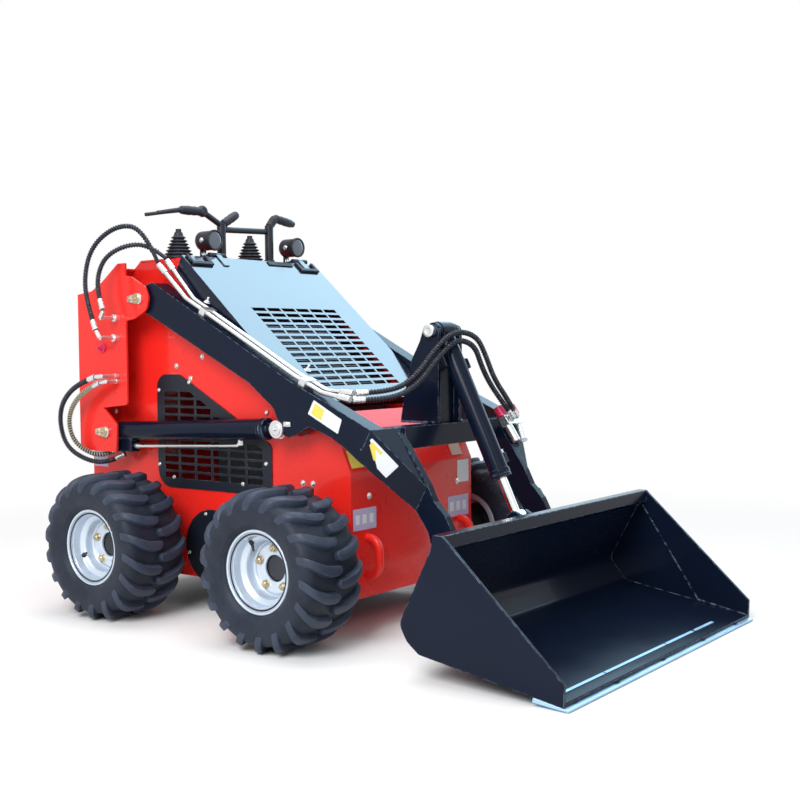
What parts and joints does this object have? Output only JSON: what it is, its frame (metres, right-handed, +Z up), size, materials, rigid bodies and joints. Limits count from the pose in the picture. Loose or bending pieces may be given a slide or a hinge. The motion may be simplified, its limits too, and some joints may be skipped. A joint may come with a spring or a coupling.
{
  "type": "wheeled mini skid steer loader",
  "caption": "Stand-behind wheeled mini skid steer loader with lift arms, tilting bucket, opening engine hood and rolling wheels.",
  "frame": {"origin": "on the ground, midway across the machine and midway between the bucket's cutting edge and the rear panel's foot", "axes": "+Z up, -Y forwards to the bucket, +X to the machine's left-hand side"},
  "size_m": [1.233, 1.9948, 1.3009],
  "materials": {
    "red_paint": "gloss red paint",
    "black_paint": "gloss black paint",
    "grille_black": "satin black paint",
    "rim_silver": "silver paint",
    "tyre": "worn rubber",
    "zinc": "zinc plated",
    "steel": "worn bare steel",
    "chrome": "hard chrome",
    "iron": "painted casting",
    "rubber": "moulded rubber",
    "hose_rubber": "hydraulic hose",
    "plastic": "moulded plastic",
    "cap_red": "moulded red plastic"
  },
  "bodies": {
    "chassis": {"belly_pan": "black_paint", "chassis_pins": "zinc", "control_posts": "plastic", "deck": "red_paint", "drive_motors": "iron", "engine_block": "iron", "hood_hinges": "grille_black", "hose_arm_inner": "hose_rubber", "hose_arm_outer": "hose_rubber", "hose_lift_front": "hose_rubber", "hose_lift_rear": "hose_rubber", "lamps": "plastic", "lever_boots": "rubber", "nose_cover": "red_paint", "nose_plate": "red_paint", "rear_panel": "red_paint", "rear_tower_left": "red_paint", "rear_tower_right": "red_paint", "side_grilles": "grille_black", "side_plate_left": "red_paint", "side_plate_right": "red_paint", "tow_loops": "red_paint", "tower_fittings": "zinc"},
    "hood": {"hood": "black_paint"},
    "lift_arms": {"arm_right": "black_paint", "arm_left": "black_paint", "cross_tube": "black_paint", "tilt_tower": "black_paint", "linkage_pins": "zinc", "tilt_barrel": "black_paint", "tilt_tube": "zinc", "arm_tubes": "zinc", "couplers": "zinc", "coupler_caps": "cap_red", "hose_coupler_outer": "hose_rubber", "hose_coupler_inner": "hose_rubber"},
    "lift_barrel_right": {"lift_barrel_right": "black_paint", "lift_tube_right": "zinc"},
    "lift_rod_right": {"lift_rod_right": "chrome"},
    "lift_barrel_left": {"lift_barrel_left": "black_paint", "lift_tube_left": "zinc"},
    "lift_rod_left": {"lift_rod_left": "chrome"},
    "tilt_rod": {"tilt_rod": "chrome"},
    "bucket": {"bucket": "black_paint", "cutting_edge": "steel", "attach_plate": "black_paint", "bucket_pins": "zinc"},
    "wheel_front_right": {"tyre_front_right": "tyre", "rim_front_right": "rim_silver", "hub_front_right": "iron"},
    "wheel_front_left": {"tyre_front_left": "tyre", "rim_front_left": "rim_silver", "hub_front_left": "iron"},
    "wheel_rear_right": {"tyre_rear_right": "tyre", "rim_rear_right": "rim_silver", "hub_rear_right": "iron"},
    "wheel_rear_left": {"tyre_rear_left": "tyre", "rim_rear_left": "rim_silver", "hub_rear_left": "iron"}
  },
  "joints": [
    {"name": "arm_lift", "type": "hinge", "parent": "chassis", "child": "lift_arms", "pos_m": [0, 0.6495, 0.994], "axis": [-1, 0, 0], "range_deg": [0, 75], "deforming": ["hose_arm_outer", "hose_arm_inner"]},
    {"name": "bucket_tilt", "type": "hinge", "parent": "lift_arms", "child": "bucket", "pos_m": [0, -0.4695, 0.188], "axis": [1, 0, 0], "range_deg": [-18, 95]},
    {"name": "hood_lift", "type": "hinge", "parent": "chassis", "child": "hood", "pos_m": [0, 0.5425, 1.138], "axis": [-1, 0, 0], "range_deg": [0, 60]},
    {"name": "lift_barrel_right_swing", "type": "hinge", "parent": "chassis", "child": "lift_barrel_right", "pos_m": [-0.3505, 0.8215, 0.564], "axis": [-1, 0, 0], "range_deg": [0, 49.2]},
    {"name": "lift_rod_right_slide", "type": "slide", "parent": "lift_barrel_right", "child": "lift_rod_right", "axis": [0, -0.999, 0.0448], "range_m": [0, 0.381]},
    {"name": "lift_barrel_left_swing", "type": "hinge", "parent": "chassis", "child": "lift_barrel_left", "pos_m": [0.3505, 0.8215, 0.564], "axis": [-1, 0, 0], "range_deg": [0, 49.2]},
    {"name": "lift_rod_left_slide", "type": "slide", "parent": "lift_barrel_left", "child": "lift_rod_left", "axis": [0, -0.999, 0.0448], "range_m": [0, 0.381]},
    {"name": "tilt_rod_slide", "type": "slide", "parent": "lift_arms", "child": "tilt_rod", "axis": [0, -0.4338, -0.901], "range_m": [-0.045, 0.2355]},
    {"name": "wheel_front_right_spin", "type": "hinge", "parent": "chassis", "child": "wheel_front_right", "pos_m": [-0.5035, -0.0565, 0.226], "axis": [-1, 0, 0], "continuous": true},
    {"name": "wheel_front_left_spin", "type": "hinge", "parent": "chassis", "child": "wheel_front_left", "pos_m": [0.5035, -0.0565, 0.226], "axis": [-1, 0, 0], "continuous": true},
    {"name": "wheel_rear_right_spin", "type": "hinge", "parent": "chassis", "child": "wheel_rear_right", "pos_m": [-0.5035, 0.6515, 0.226], "axis": [-1, 0, 0], "continuous": true},
    {"name": "wheel_rear_left_spin", "type": "hinge", "parent": "chassis", "child": "wheel_rear_left", "pos_m": [0.5035, 0.6515, 0.226], "axis": [-1, 0, 0], "continuous": true}
  ],
  "couplings": [
    {"joint": "lift_barrel_right_swing", "follows": "arm_lift", "ratio": 0.65514},
    {"joint": "lift_rod_right_slide", "follows": "arm_lift", "m_per_rad": 0.29034},
    {"joint": "lift_barrel_left_swing", "follows": "arm_lift", "ratio": 0.65514},
    {"joint": "lift_rod_left_slide", "follows": "arm_lift", "m_per_rad": 0.29034},
    {"joint": "tilt_rod_slide", "follows": "bucket_tilt", "m_per_rad": 0.14175}
  ]
}
